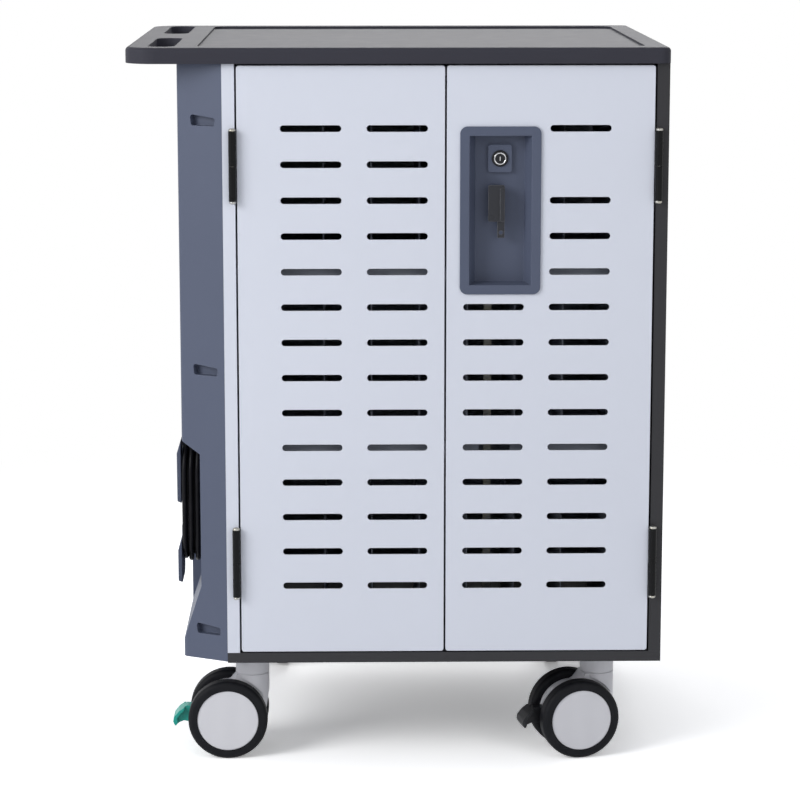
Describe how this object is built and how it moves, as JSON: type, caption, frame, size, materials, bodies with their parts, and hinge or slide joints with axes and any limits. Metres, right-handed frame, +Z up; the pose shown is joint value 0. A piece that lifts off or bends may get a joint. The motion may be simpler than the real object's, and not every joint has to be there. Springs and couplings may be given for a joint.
{
  "type": "laptop charging cart",
  "caption": "Vented steel cabinet on twin-wheel casters that stores and charges laptops behind locking doors, with a moulded worktop, hand slots and a cord wrap.",
  "frame": {"origin": "on the floor, under the middle of the worktop", "axes": "+Z up, the front doors face -Y, the hand slots are at the -X end"},
  "size_m": [0.818, 0.6878, 1.118],
  "materials": {
    "steel_white": "fine powder coat",
    "steel_dark": "fine powder coat",
    "steel_grey": "fine powder coat",
    "worktop": "moulded, fine grain",
    "slate_plastic": "moulded, fine grain",
    "black_plastic": "moulded",
    "cord": "smooth jacket",
    "hinge": "black coat",
    "pin_steel": "zinc plated",
    "lock_chrome": "polished",
    "lever": "satin coat",
    "caster_grey": "moulded",
    "tyre": "smooth tread",
    "teal_plastic": "moulded"
  },
  "bodies": {
    "cabinet": {"left_front_post": "steel_white", "base_pan": "steel_dark", "right_front_post": "steel_dark", "rear_posts": "steel_dark", "left_side_panel": "steel_dark", "right_side_panel": "steel_dark", "charge_controller": "steel_dark", "rod_keepers": "steel_dark", "lower_shelf": "steel_grey", "upper_shelf": "steel_grey", "lower_dividers": "steel_grey", "middle_dividers": "steel_grey", "upper_dividers": "steel_grey", "partition_panel": "steel_grey", "worktop": "worktop", "left_side_cover": "slate_plastic", "cord_wrap": "slate_plastic", "power_strips": "black_plastic", "cord_gland": "black_plastic", "plug": "black_plastic", "door_catch": "black_plastic", "power_cord_lead": "cord", "power_cord_winding": "cord", "power_cord_tail": "cord", "post_knuckles": "hinge", "hinge_pins": "pin_steel", "caster_bolts": "pin_steel", "caster_plates": "caster_grey"},
    "left_door": {"left_door_panel": "steel_white", "left_door_knuckles": "hinge", "left_door_strike": "pin_steel"},
    "right_door": {"right_door_panel": "steel_white", "right_door_knuckles": "hinge", "latch_bezel": "slate_plastic", "handle_brackets": "steel_dark", "handle_pin": "pin_steel", "rod_guides": "steel_dark"},
    "handle": {"latch_handle": "lever"},
    "key": {"key_cylinder": "lock_chrome"},
    "upper_rod": {"upper_lock_rod": "pin_steel"},
    "lower_rod": {"lower_lock_rod": "pin_steel"},
    "rear_door": {"rear_door_panel": "steel_dark", "rear_door_knuckles": "hinge", "rear_lock_body": "lock_chrome"},
    "rear_key": {"rear_lock_cylinder": "lock_chrome"},
    "front_left_swivel": {"front_left_housing": "caster_grey"},
    "front_left_wheels": {"front_left_hubs": "caster_grey", "front_left_tyres": "tyre"},
    "front_right_swivel": {"front_right_housing": "caster_grey"},
    "front_right_wheels": {"front_right_hubs": "caster_grey", "front_right_tyres": "tyre"},
    "rear_left_swivel": {"rear_left_housing": "caster_grey"},
    "rear_left_wheels": {"rear_left_hubs": "caster_grey", "rear_left_tyres": "tyre"},
    "rear_right_swivel": {"rear_right_housing": "caster_grey"},
    "rear_right_wheels": {"rear_right_hubs": "caster_grey", "rear_right_tyres": "tyre"},
    "front_left_brake": {"front_left_pedal": "teal_plastic"},
    "front_right_brake": {"front_right_pedal": "black_plastic"}
  },
  "joints": [
    {"name": "left_door_swing", "type": "hinge", "parent": "cabinet", "child": "left_door", "pos_m": [-0.2485, -0.338, 0.329], "axis": [0, 0, -1], "range_deg": [0, 175]},
    {"name": "right_door_swing", "type": "hinge", "parent": "cabinet", "child": "right_door", "pos_m": [0.3925, -0.338, 0.329], "axis": [0, 0, 1], "range_deg": [0, 175]},
    {"name": "handle_pull", "type": "hinge", "parent": "right_door", "child": "handle", "pos_m": [0.149, -0.283, 0.895], "axis": [-1, 0, 0], "range_deg": [0, 22], "stiffness_Nm_per_rad": 0.4},
    {"name": "upper_rod_slide", "type": "slide", "parent": "right_door", "child": "upper_rod", "axis": [0, 0, 1], "range_m": [0, 0.00461]},
    {"name": "lower_rod_slide", "type": "slide", "parent": "right_door", "child": "lower_rod", "axis": [0, 0, -1], "range_m": [0, 0.00461]},
    {"name": "key_turn", "type": "hinge", "parent": "right_door", "child": "key", "pos_m": [0.1545, -0.306, 0.95], "axis": [0, -1, 0], "range_deg": [0, 90]},
    {"name": "rear_door_swing", "type": "hinge", "parent": "cabinet", "child": "rear_door", "pos_m": [0.3925, 0.338, 0.329], "axis": [0, 0, -1], "range_deg": [0, 175]},
    {"name": "rear_key_turn", "type": "hinge", "parent": "rear_door", "child": "rear_key", "pos_m": [-0.202, 0.332, 0.6718], "axis": [0, 1, 0], "range_deg": [0, 90]},
    {"name": "front_left_swivel_turn", "type": "hinge", "parent": "cabinet", "child": "front_left_swivel", "pos_m": [-0.229, -0.238, 0.15], "axis": [0, 0, 1], "continuous": true},
    {"name": "front_left_wheel_spin", "type": "hinge", "parent": "front_left_swivel", "child": "front_left_wheels", "pos_m": [-0.267, -0.238, 0.0625], "axis": [0, 1, 0], "continuous": true},
    {"name": "front_left_brake_press", "type": "hinge", "parent": "front_left_swivel", "child": "front_left_brake", "pos_m": [-0.311, -0.238, 0.0665], "axis": [0, -1, 0], "range_deg": [0, 14]},
    {"name": "front_right_swivel_turn", "type": "hinge", "parent": "cabinet", "child": "front_right_swivel", "pos_m": [0.317, -0.238, 0.15], "axis": [0, 0, 1], "continuous": true},
    {"name": "front_right_wheel_spin", "type": "hinge", "parent": "front_right_swivel", "child": "front_right_wheels", "pos_m": [0.27983, -0.2459, 0.0625], "axis": [-0.2079, 0.9781, 0], "continuous": true},
    {"name": "front_right_brake_press", "type": "hinge", "parent": "front_right_swivel", "child": "front_right_brake", "pos_m": [0.23679, -0.25505, 0.0665], "axis": [0.2079, -0.9781, 0], "range_deg": [0, 14]},
    {"name": "rear_left_swivel_turn", "type": "hinge", "parent": "cabinet", "child": "rear_left_swivel", "pos_m": [-0.229, 0.238, 0.15], "axis": [0, 0, 1], "continuous": true},
    {"name": "rear_left_wheel_spin", "type": "hinge", "parent": "rear_left_swivel", "child": "rear_left_wheels", "pos_m": [-0.229, 0.276, 0.0625], "axis": [1, 0, 0], "continuous": true},
    {"name": "rear_right_swivel_turn", "type": "hinge", "parent": "cabinet", "child": "rear_right_swivel", "pos_m": [0.317, 0.238, 0.15], "axis": [0, 0, 1], "continuous": true},
    {"name": "rear_right_wheel_spin", "type": "hinge", "parent": "rear_right_swivel", "child": "rear_right_wheels", "pos_m": [0.317, 0.276, 0.0625], "axis": [1, 0, 0], "continuous": true}
  ],
  "couplings": [
    {"joint": "upper_rod_slide", "follows": "handle_pull", "m_per_rad": 0.012},
    {"joint": "lower_rod_slide", "follows": "handle_pull", "m_per_rad": 0.012}
  ]
}
